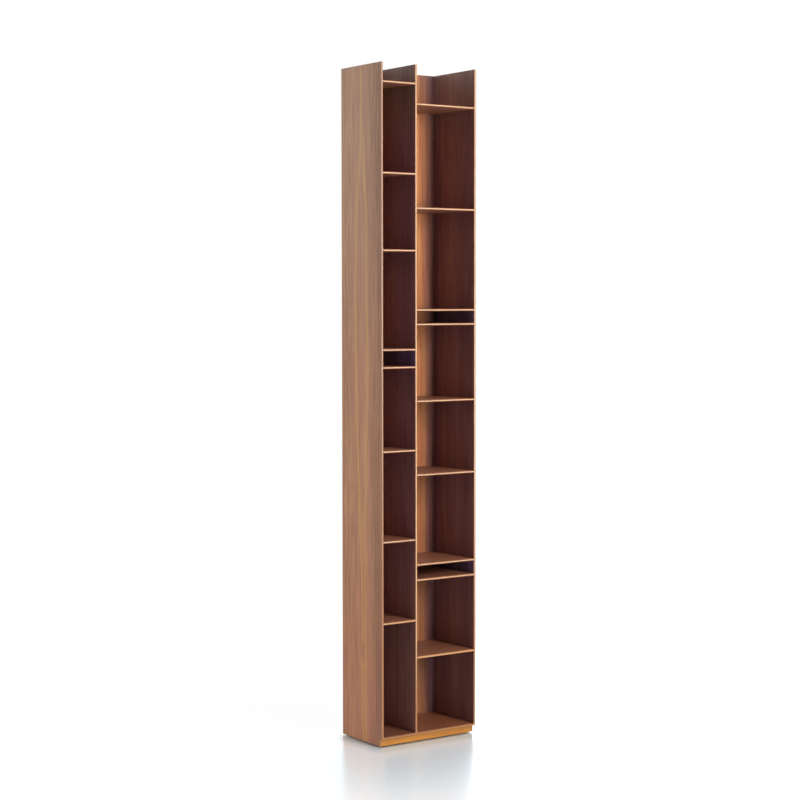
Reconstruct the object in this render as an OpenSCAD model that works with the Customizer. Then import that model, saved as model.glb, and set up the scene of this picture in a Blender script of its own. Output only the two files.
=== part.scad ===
// Tall open bookcase of thin veneered boards, with a narrow and a wide bay of shelves.
// X runs along the front, Y from the front edges to the wall, Z up from the floor.
// The origin is on the floor, under the middle of the case.

/* [Case] */
// Height from the floor to the top of the uprights
case_h = 2416; // [2200:1:2600]
// Depth from the front edges to the wall
case_d = 256; // [220:1:360]
// Clear width of the narrow bay on the left
left_bay_w = 138; // [110:1:260]
// Clear width of the wide bay on the right
right_bay_w = 253; // [160:1:420]
// Thickness of the three uprights
upright_t = 7; // [6:0.5:12]
// Thickness of the shelves
shelf_t = 7; // [6:0.5:12]
// Thickness of the back panel
back_t = 7; // [6:0.5:10]
// Thickness of the bottom panel
bottom_t = 7; // [6:0.5:12]
// Thickness of the veneer lipping on the front edges
lip_t = 1; // [0.5:0.1:2]
// How far the shelves stand back from the front edges of the uprights
shelf_setback = 0.5; // [0:0.1:3]

/* [Plinth] */
// Gap between the floor and the plinth
floor_gap = 4; // [3.5:0.5:6]
// Height of the plinth rails
plinth_h = 26; // [24:1:60]
// How far the plinth stands back from the front edges
toe_recess = 15; // [8:1:40]
// Thickness of the plinth rails
rail_t = 12; // [10:1:18]
// Side of the square corner blocks
block_w = 44; // [36:1:60]
// Height of the corner blocks
block_h = 18; // [15:1:18]

/* [Clear spaces of the left bay, from the top down] */
// Space above the top shelf, open upwards
left_space_1 = 64; // [50:0.5:160]
// Second space from the top
left_space_2 = 309.5; // [200:0.5:400]
// Third space
left_space_3 = 263; // [160:0.5:400]
// Fourth space
left_space_4 = 343; // [240:0.5:440]
// Fifth space, a low slot
left_space_5 = 55.5; // [30:0.5:160]
// Sixth space
left_space_6 = 289.5; // [180:0.5:400]
// Seventh space
left_space_7 = 313; // [200:0.5:420]
// Eighth space, above the lowest, which takes what is left
left_space_8 = 283; // [180:0.5:400]

/* [Clear spaces of the right bay, from the top down] */
// Space above the top shelf, open upwards
right_space_1 = 135; // [50:0.5:240]
// Second space from the top
right_space_2 = 358.5; // [240:0.5:460]
// Third space
right_space_3 = 353; // [240:0.5:460]
// Fourth space, a low slot
right_space_4 = 44; // [30:0.5:160]
// Fifth space
right_space_5 = 266.5; // [160:0.5:380]
// Sixth space
right_space_6 = 256.5; // [160:0.5:380]
// Seventh space
right_space_7 = 315; // [200:0.5:420]
// Eighth space, a low slot
right_space_8 = 48; // [30:0.5:160]
// Ninth space, above the lowest, which takes what is left
right_space_9 = 272; // [160:0.5:380]

/* [Steel pins] */
// Diameter of the pins that join the boards
pin_d = 3; // [2:0.1:4]
// Length of a pin in the end of a board
pin_in_board = 10.5; // [8:0.5:20]
// Length of a pin in the face that the board meets
pin_in_face = 3.5; // [2:0.5:5]
// Distance of the pins from the front and back ends of a board
pin_inset = 32; // [20:1:60]

/* [Screws] */
// Diameter of the screw shanks
screw_d = 3; // [2.5:0.1:3.5]
// Diameter of the countersunk heads
screw_head_d = 5.6; // [5:0.1:6]
// Length of the screws through the back panel
back_screw_l = 25; // [18:1:30]
// Distance of the back panel screws from the ends of a wide shelf
back_screw_inset = 40; // [20:1:60]
// Length of the screws through the corner blocks
block_screw_l = 22; // [20:0.5:24]
// Length of the screws that hold the wall plate
plate_screw_l = 7; // [5:0.5:8]

/* [Wall fixing] */
// Width of the steel wall plate
plate_w = 64; // [56:1:100]
// Height of the steel wall plate
plate_h = 26; // [16:1:40]
// Thickness of the steel wall plate
plate_t = 2; // [1.5:0.1:3]
// Distance between the two holes for wall screws
wall_hole_pitch = 44; // [36:1:48]
// Diameter of the holes for wall screws
wall_hole_d = 5.5; // [4:0.1:7]
// Distance between the two screws that hold the plate
plate_screw_pitch = 18; // [14:1:20]

/* [Levelling feet] */
// Diameter of a foot pad
pad_d = 20; // [14:1:30]
// Height of a foot pad
pad_h = 3; // [2.5:0.5:3]
// Diameter of the threaded stem
stem_d = 6; // [5:0.5:8]
// Width across the flats of the collar that a spanner turns
collar_af = 10; // [9:0.5:13]
// Height of the collar
collar_h = 4; // [3:0.5:4]
// Diameter of the threaded bush in a corner block
bush_d = 9; // [8:0.5:12]
// Length of the threaded bush
bush_l = 12; // [8:0.5:14]

/* [Clearances] */
// Gap all round a pin, a screw or a stem in its hole
hole_gap = 0.05; // [0.02:0.01:0.1]
// Gap between a pin or a screw and the end of its hole
end_gap = 0.3; // [0.1:0.1:0.5]
// Gap between the collar and the pad
collar_gap = 0.3; // [0.2:0.1:0.5]

/* [Hidden] */
$fn = 48;
half = 0.5;
// How far a cut runs out past the face that it opens in
cut = 1;

case_w = left_bay_w + right_bay_w + 3 * upright_t;
left_out_x = -case_w * half;
left_in_x = left_out_x + upright_t;
divider_x = left_in_x + left_bay_w;
right_bay_x = divider_x + upright_t;
right_in_x = right_bay_x + right_bay_w;
inner_w = right_in_x - left_in_x;

front_y = -case_d * half;
back_y = case_d * half;
board_y = front_y + lip_t;
back_in_y = back_y - back_t;
shelf_y = board_y + shelf_setback;
shelf_d = back_in_y - shelf_y;
toe_y = front_y + toe_recess;
rail_back_y = toe_y + rail_t;
rear_rail_y = back_y - rail_t;

plinth_top = floor_gap + plinth_h;
bottom_top = plinth_top + bottom_t;
block_z = plinth_top - block_h;

left_spaces = [
    left_space_1, left_space_2, left_space_3, left_space_4,
    left_space_5, left_space_6, left_space_7, left_space_8
];
right_spaces = [
    right_space_1, right_space_2, right_space_3, right_space_4, right_space_5,
    right_space_6, right_space_7, right_space_8, right_space_9
];

// Sum of the values of v up to index i
function sum_to(v, i) = i < 0 ? 0 : v[i] + sum_to(v, i - 1);

// Undersides of the shelves of a bay, from the lowest shelf up
function shelf_heights(spaces) = [
    for (i = [len(spaces) - 1 : -1 : 0]) case_h - sum_to(spaces, i) - (i + 1) * shelf_t
];
left_z = shelf_heights(left_spaces);
right_z = shelf_heights(right_spaces);
last_left = len(left_z) - 1;
last_right = len(right_z) - 1;

// Pins stand in two rows, one near the front and one near the back
pin_rows = [shelf_y + pin_inset, back_in_y - pin_inset];
pin_l = pin_in_board + pin_in_face;
rail_rows = [toe_y + rail_t * half, back_y - rail_t * half];
rail_pin_z = floor_gap + plinth_h * half;

// Screws through the back panel, as [x, z] of each
head_h = (screw_head_d - screw_d) * half;
head_sink = 0.2;
cross_w = 0.7;
cross_l = screw_head_d * half;
cross_depth = 0.8;
left_mid_x = left_in_x + left_bay_w * half;
wide_screw_x = [right_bay_x + back_screw_inset, right_in_x - back_screw_inset];
left_screws = [for (z = left_z) [left_mid_x, z + shelf_t * half]];
right_screws = [for (z = right_z) for (x = wide_screw_x) [x, z + shelf_t * half]];

plate_z = case_h - left_space_1 * half;

// Centres of the corner blocks and of the feet in them
block_x = [left_in_x + block_w * half, right_in_x - block_w * half];
block_y = [rail_back_y + block_w * half, rear_rail_y - block_w * half];
block_screw_out = block_w * half - screw_head_d;

// A foot can be screwed in until its pad is level with the underside of the plinth
foot_rise = floor_gap;
socket_floor = 1.1;
tip_gap = 0.1;
tip_z = socket_floor + tip_gap;
collar_z = pad_h + collar_gap;
stem_headroom = 1;
stem_top = plinth_top - foot_rise - stem_headroom;
clear_hole_gap = 0.3;
pad_edge = 0.8;
stem_chamfer = 0.6;

veneer = [0.63, 0.49, 0.39];
inner_veneer = [0.52, 0.34, 0.24];
edge_veneer = [0.93, 0.74, 0.58];
plinth_veneer = [0.78, 0.5, 0.24];
softwood = [0.82, 0.7, 0.52];
steel = [0.7, 0.7, 0.72];
brass = [0.8, 0.65, 0.3];
nylon = [0.12, 0.12, 0.12];

// A board given by its low corner and its size
module board(corner, size) {
    translate(corner) cube(size);
}

// A cylinder along +X, from its start point
module rod_x(start, l, d) {
    translate(start) rotate([0, 90, 0]) cylinder(d = d, h = l);
}

// A cylinder along +Y, from its start point
module rod_y(start, l, d) {
    translate(start) rotate([-90, 0, 0]) cylinder(d = d, h = l);
}

// A cylinder along +Z, from its start point
module rod_z(start, l, d) {
    translate(start) cylinder(d = d, h = l);
}

// Pin holes in a face that looks along X, for the boards that meet it at the heights zs.
// side is 1 where the hole runs on along +X and -1 where it runs back along -X.
module face_holes(x, zs, t, side) {
    depth = pin_in_face + end_gap;
    start_x = side > 0 ? x : x - depth;
    for (z = zs) {
        for (y = pin_rows) {
            rod_x([start_x, y, z + t * half], depth, pin_d + 2 * hole_gap);
        }
    }
}

// Pin holes in both ends of a board that spans a bay
module end_holes(x, w, z, t) {
    depth = pin_in_board + end_gap;
    for (y = pin_rows) {
        rod_x([x, y, z + t * half], depth, pin_d + 2 * hole_gap);
        rod_x([x + w - depth, y, z + t * half], depth, pin_d + 2 * hole_gap);
    }
}

// The four pins of a board that spans a bay
module end_pins(x, w, z, t) {
    for (y = pin_rows) {
        rod_x([x - pin_in_face, y, z + t * half], pin_l, pin_d);
        rod_x([x + w - pin_in_board, y, z + t * half], pin_l, pin_d);
    }
}

// A countersunk screw that points along +Z, with the face of its head at the origin
module screw(l) {
    difference() {
        rotate_extrude() polygon([
            [0, 0],
            [screw_head_d * half, 0],
            [screw_d * half, head_h],
            [screw_d * half, l - screw_d],
            [0, l]
        ]);
        for (a = [0, 90]) {
            rotate([0, 0, a]) translate([-cross_l * half, -cross_w * half, -cut])
                cube([cross_l, cross_w, cut + cross_depth]);
        }
    }
}

// The hole for that screw, open past its head
module screw_hole(l) {
    r = screw_d * half + hole_gap;
    head_r = screw_head_d * half + hole_gap;
    rotate_extrude() polygon([
        [0, -cut],
        [head_r, -cut],
        [head_r, 0],
        [r, head_r - r],
        [r, l + end_gap],
        [0, l + end_gap]
    ]);
}

// Puts its children at each screw place on the back panel, pointing to the front
module at_back(places) {
    for (p = places) {
        translate([p[0], back_y - head_sink, p[1]]) rotate([90, 0, 0]) children();
    }
}

// Puts its children at the two screw places under each corner block, pointing up.
// They lie on the side of the block that is further from the side panel and its pins.
module under_blocks() {
    for (side = [0, 1]) {
        toward_middle = side == 0 ? block_screw_out : -block_screw_out;
        for (y = block_y) {
            for (s = [-1, 1]) {
                translate([block_x[side] + toward_middle, y + s * block_screw_out, block_z + head_sink])
                    children();
            }
        }
    }
}

// Puts its children at the two screw places on the wall plate, pointing to the wall
module at_plate() {
    for (s = [-1, 1]) {
        translate([left_mid_x + s * plate_screw_pitch * half, back_in_y - plate_t + head_sink, plate_z])
            rotate([-90, 0, 0]) children();
    }
}

// The two holes for wall screws, through whatever stands between the bay and the wall
module wall_holes() {
    for (s = [-1, 1]) {
        rod_y([left_mid_x + s * wall_hole_pitch * half, back_in_y - plate_t - cut, plate_z],
            plate_t + back_t + 2 * cut, wall_hole_d);
    }
}

// A side panel, cut back at the foot of its front edge to meet the plinth
module side_panel(x) {
    outline = [
        [board_y, plinth_top],
        [board_y, case_h],
        [back_y, case_h],
        [back_y, floor_gap],
        [toe_y + lip_t, floor_gap],
        [toe_y + lip_t, plinth_top]
    ];
    translate([x, 0, 0]) rotate([90, 0, 90]) linear_extrude(upright_t) polygon(outline);
}

// Holes in a side panel for the ends of the two plinth rails
module rail_holes(x, side) {
    depth = pin_in_face + end_gap;
    start_x = side > 0 ? x : x - depth;
    for (y = rail_rows) {
        rod_x([start_x, y, rail_pin_z], depth, pin_d + 2 * hole_gap);
    }
}

module left_side_panel() {
    color(veneer) difference() {
        side_panel(left_out_x);
        face_holes(left_in_x, left_z, shelf_t, -1);
        face_holes(left_in_x, [plinth_top], bottom_t, -1);
        rail_holes(left_in_x, -1);
    }
}

module right_side_panel() {
    color(veneer) difference() {
        side_panel(right_in_x);
        face_holes(right_in_x, right_z, shelf_t, 1);
        face_holes(right_in_x, [plinth_top], bottom_t, 1);
        rail_holes(right_in_x, 1);
    }
}

// The divider stands on the bottom panel and takes shelves on both faces
module divider_panel() {
    color(inner_veneer) difference() {
        board([divider_x, board_y, bottom_top], [upright_t, back_in_y - board_y, case_h - bottom_top]);
        face_holes(divider_x, left_z, shelf_t, 1);
        face_holes(right_bay_x, right_z, shelf_t, -1);
        for (y = pin_rows) {
            rod_z([divider_x + upright_t * half, y, bottom_top], pin_in_board + end_gap, pin_d + 2 * hole_gap);
        }
    }
}

// The back panel stands on the bottom panel, between the side panels
module back_panel() {
    color(inner_veneer) difference() {
        board([left_in_x, back_in_y, bottom_top], [inner_w, back_t, case_h - bottom_top]);
        at_back(left_screws) screw_hole(back_screw_l);
        at_back(right_screws) screw_hole(back_screw_l);
        at_plate() screw_hole(plate_screw_l);
        wall_holes();
    }
}

// The bottom panel runs under the divider, between the side panels
module bottom_panel() {
    color(inner_veneer) difference() {
        board([left_in_x, board_y, plinth_top], [inner_w, back_y - board_y, bottom_t]);
        end_holes(left_in_x, inner_w, plinth_top, bottom_t);
        under_blocks() screw_hole(block_screw_l);
        for (y = pin_rows) {
            rod_z([divider_x + upright_t * half, y, bottom_top - pin_in_face - end_gap],
                pin_in_face + end_gap, pin_d + 2 * hole_gap);
        }
    }
}

// One shelf, drilled at its ends for pins and at its back edge for screws
module shelf(x, w, z, screw_x) {
    color(inner_veneer) difference() {
        board([x, shelf_y, z], [w, shelf_d, shelf_t]);
        end_holes(x, w, z, shelf_t);
        at_back([for (sx = screw_x) [sx, z + shelf_t * half]]) screw_hole(back_screw_l);
    }
}

module left_shelf(i) {
    shelf(left_in_x, left_bay_w, left_z[i], [left_mid_x]);
}

module right_shelf(i) {
    shelf(right_bay_x, right_bay_w, right_z[i], wide_screw_x);
}

// Lipping on the front edges of the uprights and down the toe of the two side panels
module upright_lipping() {
    color(edge_veneer) {
        for (x = [left_out_x, right_in_x]) {
            board([x, front_y, plinth_top], [upright_t, lip_t, case_h - plinth_top]);
            board([x, toe_y, floor_gap], [upright_t, lip_t, plinth_h]);
        }
        board([divider_x, front_y, bottom_top], [upright_t, lip_t, case_h - bottom_top]);
    }
}

// Lipping on the front edge of each shelf of a bay
module shelf_lipping(x, w, zs) {
    color(edge_veneer) for (z = zs) {
        board([x, shelf_y - lip_t, z], [w, lip_t, shelf_t]);
    }
}

module left_shelf_lipping() {
    shelf_lipping(left_in_x, left_bay_w, left_z);
}

module right_shelf_lipping() {
    shelf_lipping(right_bay_x, right_bay_w, right_z);
}

module bottom_lipping() {
    color(edge_veneer) board([left_in_x, front_y, plinth_top], [inner_w, lip_t, bottom_t]);
}

// A plinth rail between the side panels, drilled at its ends
module plinth_rail(y) {
    depth = pin_in_board + end_gap;
    difference() {
        board([left_in_x, y, floor_gap], [inner_w, rail_t, plinth_h]);
        rod_x([left_in_x, y + rail_t * half, rail_pin_z], depth, pin_d + 2 * hole_gap);
        rod_x([right_in_x - depth, y + rail_t * half, rail_pin_z], depth, pin_d + 2 * hole_gap);
    }
}

module plinth_front_rail() {
    color(plinth_veneer) plinth_rail(toe_y);
}

module plinth_rear_rail() {
    color(softwood) plinth_rail(rear_rail_y);
}

// The cross rail carries the divider, from the front rail to the rear rail
module plinth_cross_rail() {
    color(softwood) board(
        [divider_x + (upright_t - rail_t) * half, rail_back_y, block_z],
        [rail_t, rear_rail_y - rail_back_y, block_h]
    );
}

// A block in each corner of the plinth, bored for the bush of a foot
module corner_blocks() {
    color(softwood) difference() {
        for (x = block_x) {
            for (y = block_y) {
                board([x - block_w * half, y - block_w * half, block_z], [block_w, block_w, block_h]);
            }
        }
        for (x = block_x) {
            for (y = block_y) {
                rod_z([x, y, block_z - cut], bush_l + cut, bush_d + 2 * hole_gap);
                rod_z([x, y, block_z - cut], block_h + 2 * cut, stem_d + 2 * clear_hole_gap);
            }
        }
        under_blocks() screw_hole(block_screw_l);
    }
}

module left_shelf_pins() {
    color(steel) for (z = left_z) {
        end_pins(left_in_x, left_bay_w, z, shelf_t);
    }
}

module right_shelf_pins() {
    color(steel) for (z = right_z) {
        end_pins(right_bay_x, right_bay_w, z, shelf_t);
    }
}

// Pins of the bottom panel, of the divider's foot and of the plinth rails
module frame_pins() {
    color(steel) {
        end_pins(left_in_x, inner_w, plinth_top, bottom_t);
        for (y = pin_rows) {
            rod_z([divider_x + upright_t * half, y, bottom_top - pin_in_face], pin_l, pin_d);
        }
        for (y = rail_rows) {
            rod_x([left_in_x - pin_in_face, y, rail_pin_z], pin_l, pin_d);
            rod_x([right_in_x - pin_in_board, y, rail_pin_z], pin_l, pin_d);
        }
    }
}

module back_panel_screws() {
    color(steel) {
        at_back(left_screws) screw(back_screw_l);
        at_back(right_screws) screw(back_screw_l);
    }
}

module block_screws() {
    color(steel) under_blocks() screw(block_screw_l);
}

// A steel plate on the back panel, in the top of the narrow bay, that is screwed to the wall
module wall_plate() {
    color(steel) difference() {
        board([left_mid_x - plate_w * half, back_in_y - plate_t, plate_z - plate_h * half],
            [plate_w, plate_t, plate_h]);
        at_plate() screw_hole(plate_screw_l);
        wall_holes();
    }
}

module wall_plate_screws() {
    color(steel) at_plate() screw(plate_screw_l);
}

// A threaded bush in each corner block
module foot_bushes() {
    color(brass) for (x = block_x) {
        for (y = block_y) {
            difference() {
                rod_z([x, y, block_z], bush_l, bush_d);
                rod_z([x, y, block_z - cut], bush_l + 2 * cut, stem_d + 2 * hole_gap);
            }
        }
    }
}

// A round pad with a socket for the tip of the stem
module foot_pad(x, y) {
    socket_r = stem_d * half + hole_gap;
    color(nylon) translate([x, y, 0]) rotate_extrude() polygon([
        [0, 0],
        [pad_d * half, 0],
        [pad_d * half, pad_h - pad_edge],
        [pad_d * half - pad_edge, pad_h],
        [socket_r, pad_h],
        [socket_r, socket_floor],
        [0, socket_floor]
    ]);
}

// A threaded stem that turns in the pad, with a hexagon collar for a spanner
module foot_stem(x, y) {
    r = stem_d * half;
    color(steel) translate([x, y, 0]) {
        rotate_extrude() polygon([
            [0, tip_z],
            [r, tip_z],
            [r, stem_top - stem_chamfer],
            [r - stem_chamfer, stem_top],
            [0, stem_top]
        ]);
        translate([0, 0, collar_z]) cylinder(d = collar_af / cos(30), h = collar_h, $fn = 6);
    }
}

left_side_panel();
divider_panel();
right_side_panel();
back_panel();
bottom_panel();
for (i = [0 : last_left]) left_shelf(i);
for (i = [0 : last_right]) right_shelf(i);
upright_lipping();
left_shelf_lipping();
right_shelf_lipping();
bottom_lipping();
plinth_front_rail();
plinth_rear_rail();
plinth_cross_rail();
corner_blocks();
left_shelf_pins();
right_shelf_pins();
frame_pins();
back_panel_screws();
block_screws();
wall_plate();
wall_plate_screws();
foot_bushes();
foot_pad(block_x[0], block_y[0]);  // foot_pad_front_left
foot_pad(block_x[1], block_y[0]);  // foot_pad_front_right
foot_pad(block_x[0], block_y[1]);  // foot_pad_rear_left
foot_pad(block_x[1], block_y[1]);  // foot_pad_rear_right
foot_stem(block_x[0], block_y[0]);  // foot_stem_front_left
foot_stem(block_x[1], block_y[0]);  // foot_stem_front_right
foot_stem(block_x[0], block_y[1]);  // foot_stem_rear_left
foot_stem(block_x[1], block_y[1]);  // foot_stem_rear_right
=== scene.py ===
import math

import bmesh
import bpy
import numpy as np
from mathutils import Matrix, Vector


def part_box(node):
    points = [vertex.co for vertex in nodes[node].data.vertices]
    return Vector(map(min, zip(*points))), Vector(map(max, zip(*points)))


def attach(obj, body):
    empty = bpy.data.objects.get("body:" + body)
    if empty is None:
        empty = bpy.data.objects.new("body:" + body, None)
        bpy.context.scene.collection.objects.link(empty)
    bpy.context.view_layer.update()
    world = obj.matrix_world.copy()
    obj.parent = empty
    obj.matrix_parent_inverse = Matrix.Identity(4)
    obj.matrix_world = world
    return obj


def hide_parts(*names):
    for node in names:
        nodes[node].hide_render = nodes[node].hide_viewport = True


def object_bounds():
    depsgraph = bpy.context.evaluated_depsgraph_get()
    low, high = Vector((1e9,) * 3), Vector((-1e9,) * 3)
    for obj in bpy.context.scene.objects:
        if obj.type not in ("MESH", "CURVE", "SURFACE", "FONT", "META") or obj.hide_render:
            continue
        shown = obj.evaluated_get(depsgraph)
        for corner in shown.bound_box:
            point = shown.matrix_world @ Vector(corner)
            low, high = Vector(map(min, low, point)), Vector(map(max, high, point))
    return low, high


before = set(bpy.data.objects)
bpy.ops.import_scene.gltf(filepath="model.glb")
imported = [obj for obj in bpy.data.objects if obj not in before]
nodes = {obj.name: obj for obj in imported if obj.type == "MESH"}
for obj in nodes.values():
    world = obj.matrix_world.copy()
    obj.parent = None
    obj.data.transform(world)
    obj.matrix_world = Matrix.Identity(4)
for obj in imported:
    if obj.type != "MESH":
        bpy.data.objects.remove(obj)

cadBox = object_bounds()
print("frame loaded:", len(nodes), "nodes")

# Places that the pieces share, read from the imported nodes, in metres
caseLow, caseHigh = cadBox
caseTop = caseHigh.z
caseBack = caseHigh.y
leftLow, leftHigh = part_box("left_side_panel")
rightLow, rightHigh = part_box("right_side_panel")
dividerLow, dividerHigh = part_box("divider_panel")
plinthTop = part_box("bottom_panel")[0].z
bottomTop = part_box("bottom_panel")[1].z
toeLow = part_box("plinth_front_rail")[0]
shelfNames = [n for n in nodes if n.startswith(("left_shelf_", "right_shelf_")) and n[-1].isdigit()]
footCorners = ("front_left", "front_right", "rear_left", "rear_right")
mergeGap = 1e-6  # points closer than this are one point


# A colour is written as it looks on a screen, from 0 to 255, and the sRGB curve makes it linear
def tone(red, green, blue):
    shares = (red / 255, green / 255, blue / 255)
    linear = [s / 12.92 if s <= 0.04045 else ((s + 0.055) / 1.055) ** 2.4 for s in shares]
    return (*linear, 1.0)


# What a colour is multiplied by to turn from one tone to another
def tint(start, end):
    return tuple(e / s for s, e in zip(start, end))


def addObject(name, data):
    made = bpy.data.objects.new(name, data)
    bpy.context.scene.collection.objects.link(made)
    return made


# Camera: where it stands and how it is turned, in radians, for the photo's perspective
camera = {
    "place": (-3.81571, -5.47955, 1.58655),
    "turnedRight": math.radians(34.572),
    "tippedDown": math.radians(3.095),
    "rolled": -0.00095,
    "lens": 82.93,
    "sensor": 36,
    "sees": (0.05, 200),  # nearest and furthest distance
}


def makeCamera(look):
    data = bpy.data.cameras.new("camera")
    data.lens = look["lens"]
    data.sensor_width = look["sensor"]
    data.clip_start, data.clip_end = look["sees"]
    viewer = addObject("camera", data)
    turn = Matrix.Rotation(-look["turnedRight"], 4, "Z")
    tip = Matrix.Rotation(math.pi / 2 - look["tippedDown"], 4, "X")
    roll = Matrix.Rotation(look["rolled"], 4, "Z")
    viewer.matrix_world = Matrix.Translation(look["place"]) @ turn @ tip @ roll
    bpy.context.scene.camera = viewer


makeCamera(camera)
print("camera set")


# One output socket of a node, so that shader maths reads as Python
class Wire:
    def __init__(self, graph, socket):
        self.graph = graph
        self.socket = socket

    def __add__(self, other):
        return self.graph.maths("ADD", self, other)

    def __radd__(self, other):
        return self.graph.maths("ADD", other, self)

    def __sub__(self, other):
        return self.graph.maths("SUBTRACT", self, other)

    def __rsub__(self, other):
        return self.graph.maths("SUBTRACT", other, self)

    def __mul__(self, other):
        return self.graph.maths("MULTIPLY", self, other)

    def __rmul__(self, other):
        return self.graph.maths("MULTIPLY", other, self)

    def __truediv__(self, other):
        return self.graph.maths("DIVIDE", self, other)

    def __rtruediv__(self, other):
        return self.graph.maths("DIVIDE", other, self)


def setStops(ramp, stops):
    while len(ramp.elements) < len(stops):
        ramp.elements.new(0.5)
    for element, (place, colour) in zip(ramp.elements, stops):
        element.position = place
        element.color = colour


# The node tree of one material, or of the world
class Graph:
    def __init__(self, owner):
        owner.use_nodes = True
        self.owner = owner
        self.tree = owner.node_tree
        self.tree.nodes.clear()

    # Settings are set first, then each socket gets a value or a link
    def node(self, kind, settings=None, sockets=None, output=0):
        made = self.tree.nodes.new(kind)
        for key, value in (settings or {}).items():
            if key == "stops":
                setStops(made.color_ramp, value)
            else:
                setattr(made, key, value)
        for key, value in (sockets or {}).items():
            if isinstance(value, Wire):
                self.tree.links.new(value.socket, made.inputs[key])
            else:
                made.inputs[key].default_value = value
        return Wire(self, made.outputs[output]) if made.outputs else None

    def maths(self, operation, *values):
        return self.node("ShaderNodeMath", {"operation": operation}, dict(enumerate(values)))

    # The value without its sign
    def size(self, value):
        return self.maths("ABSOLUTE", value)

    # Square root of the sum of two squares
    def distance(self, first, second):
        return self.maths("SQRT", first * first + second * second)

    def clamp(self, value):
        return self.node("ShaderNodeClamp", {}, {"Value": value})

    # 0 below low, 1 above high, and a smooth step between them
    def step(self, value, low, high):
        sockets = {"Value": value, "From Min": low, "From Max": high}
        return self.node("ShaderNodeMapRange", {"interpolation_type": "SMOOTHSTEP"}, sockets)

    # 1 at centre, fading to 0 at reach on both sides of it
    def ridge(self, value, centre, reach):
        return 1 - self.step(self.size(value - centre), 0.0, reach)

    def place(self):
        return self.node("ShaderNodeTexCoord", output="Object")

    def split(self, vector, axes="XYZ"):
        parts = self.node("ShaderNodeSeparateXYZ", {}, {"Vector": vector}).socket.node
        return [Wire(self, parts.outputs[axis]) for axis in axes]

    def stretched(self, vector, scale, shift=(0, 0, 0)):
        return self.node("ShaderNodeMapping", {}, {"Vector": vector, "Location": shift, "Scale": scale})

    def noise(self, vector, scale, detail=3.0, roughness=0.5, distortion=0.0):
        sockets = {
            "Vector": vector, "Scale": scale, "Detail": detail,
            "Roughness": roughness, "Distortion": distortion,
        }
        return self.node("ShaderNodeTexNoise", {}, sockets)

    def ramp(self, value, *stops):
        return self.node("ShaderNodeValToRGB", {"stops": stops}, {"Fac": value})

    def mix(self, factor, first, second, blend="MIX"):
        settings = {"data_type": "RGBA", "blend_type": blend}
        return self.node("ShaderNodeMix", settings, {0: factor, 6: first, 7: second}, output=2)

    def tinted(self, share, colour, by):
        return self.mix(share, colour, by, "MULTIPLY")

    # 1 for rays of a kind such as "Camera", and 0 for the others
    def ray(self, kind):
        return self.node("ShaderNodeLightPath", output=f"Is {kind} Ray")

    def glow(self, colour):
        return self.node("ShaderNodeEmission", {}, {"Color": colour, "Strength": 1.0})

    def mixShaders(self, factor, first, second):
        return self.node("ShaderNodeMixShader", {}, {0: factor, 1: first, 2: second})

    def addShaders(self, first, second):
        return self.node("ShaderNodeAddShader", {}, {0: first, 1: second})

    def output(self, shader, kind="Material"):
        self.node(f"ShaderNodeOutput{kind}", {}, {"Surface": shader})
        return self.owner

    # Ends the tree with one Principled shader, and gives back its material. relief is the bump's
    # strength and its depth in metres.
    def finish(self, colour, roughness, height, relief, metallic=0.0):
        bump = {"Height": height, "Strength": relief[0], "Distance": relief[1]}
        return self.output(self.node("ShaderNodeBsdfPrincipled", {}, {
            "Base Color": colour,
            "Roughness": roughness,
            "Metallic": metallic,
            "Normal": self.node("ShaderNodeBump", {}, bump),
        }))


def newGraph(name):
    return Graph(bpy.data.materials.new(name))


# Noises measured from their middle value and added up, each times its share
def blended(noises, shares):
    return sum((noises[name] - 0.5) * share for name, share in shares.items())


# Figure of the veneer. Each noise has its scale, detail, roughness and distortion, and is drawn out
# along the grain.
figure = {
    "drawnOut": 0.035,
    "seedShift": (1.37, 0.73, 2.11),
    "noises": {
        "broad": (34, 3, 0.5, 0.6),
        "bands": (105, 2, 0.5, 0.4),
        "streaks": (230, 5, 0.62, 0.3),
        "hairs": (1150, 3, 0.6),
    },
    "shares": {"broad": 1.2, "bands": 1.3, "streaks": 1.8, "hairs": 0.9},
    "shadeStops": (0.1, 0.5, 0.9),  # where the shade is dark, mid and pale
    "wander": (11, 2), "wanderReach": 0.016,  # how far the arches waver
    "pores": (1900, 2), "poresAt": (0.6, 0.72), "poresShare": 0.35,
    "ringWidth": 0.0135, "ringDrift": 1.6,
    "leans": (0.3, 1.0),  # the arches' centre line leans between these places along the grain
    "rosyAt": (0.024, 0.016),  # how far the rosy lines lie from the arch's own line, and their reach
    "goldenLeast": 0.55, "goldenStreaks": 0.9,
    "leafDepth": 0.003,  # the left leaf goes this deep into a board, and the right one too
    "glossStreaks": 0.16, "glossPores": 0.2,
    "raised": (0.3, 0.25, 0.8),  # shares of the streaks, the hairs and the sunk pores
    "relief": (0.35, 0.00025),
}
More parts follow.
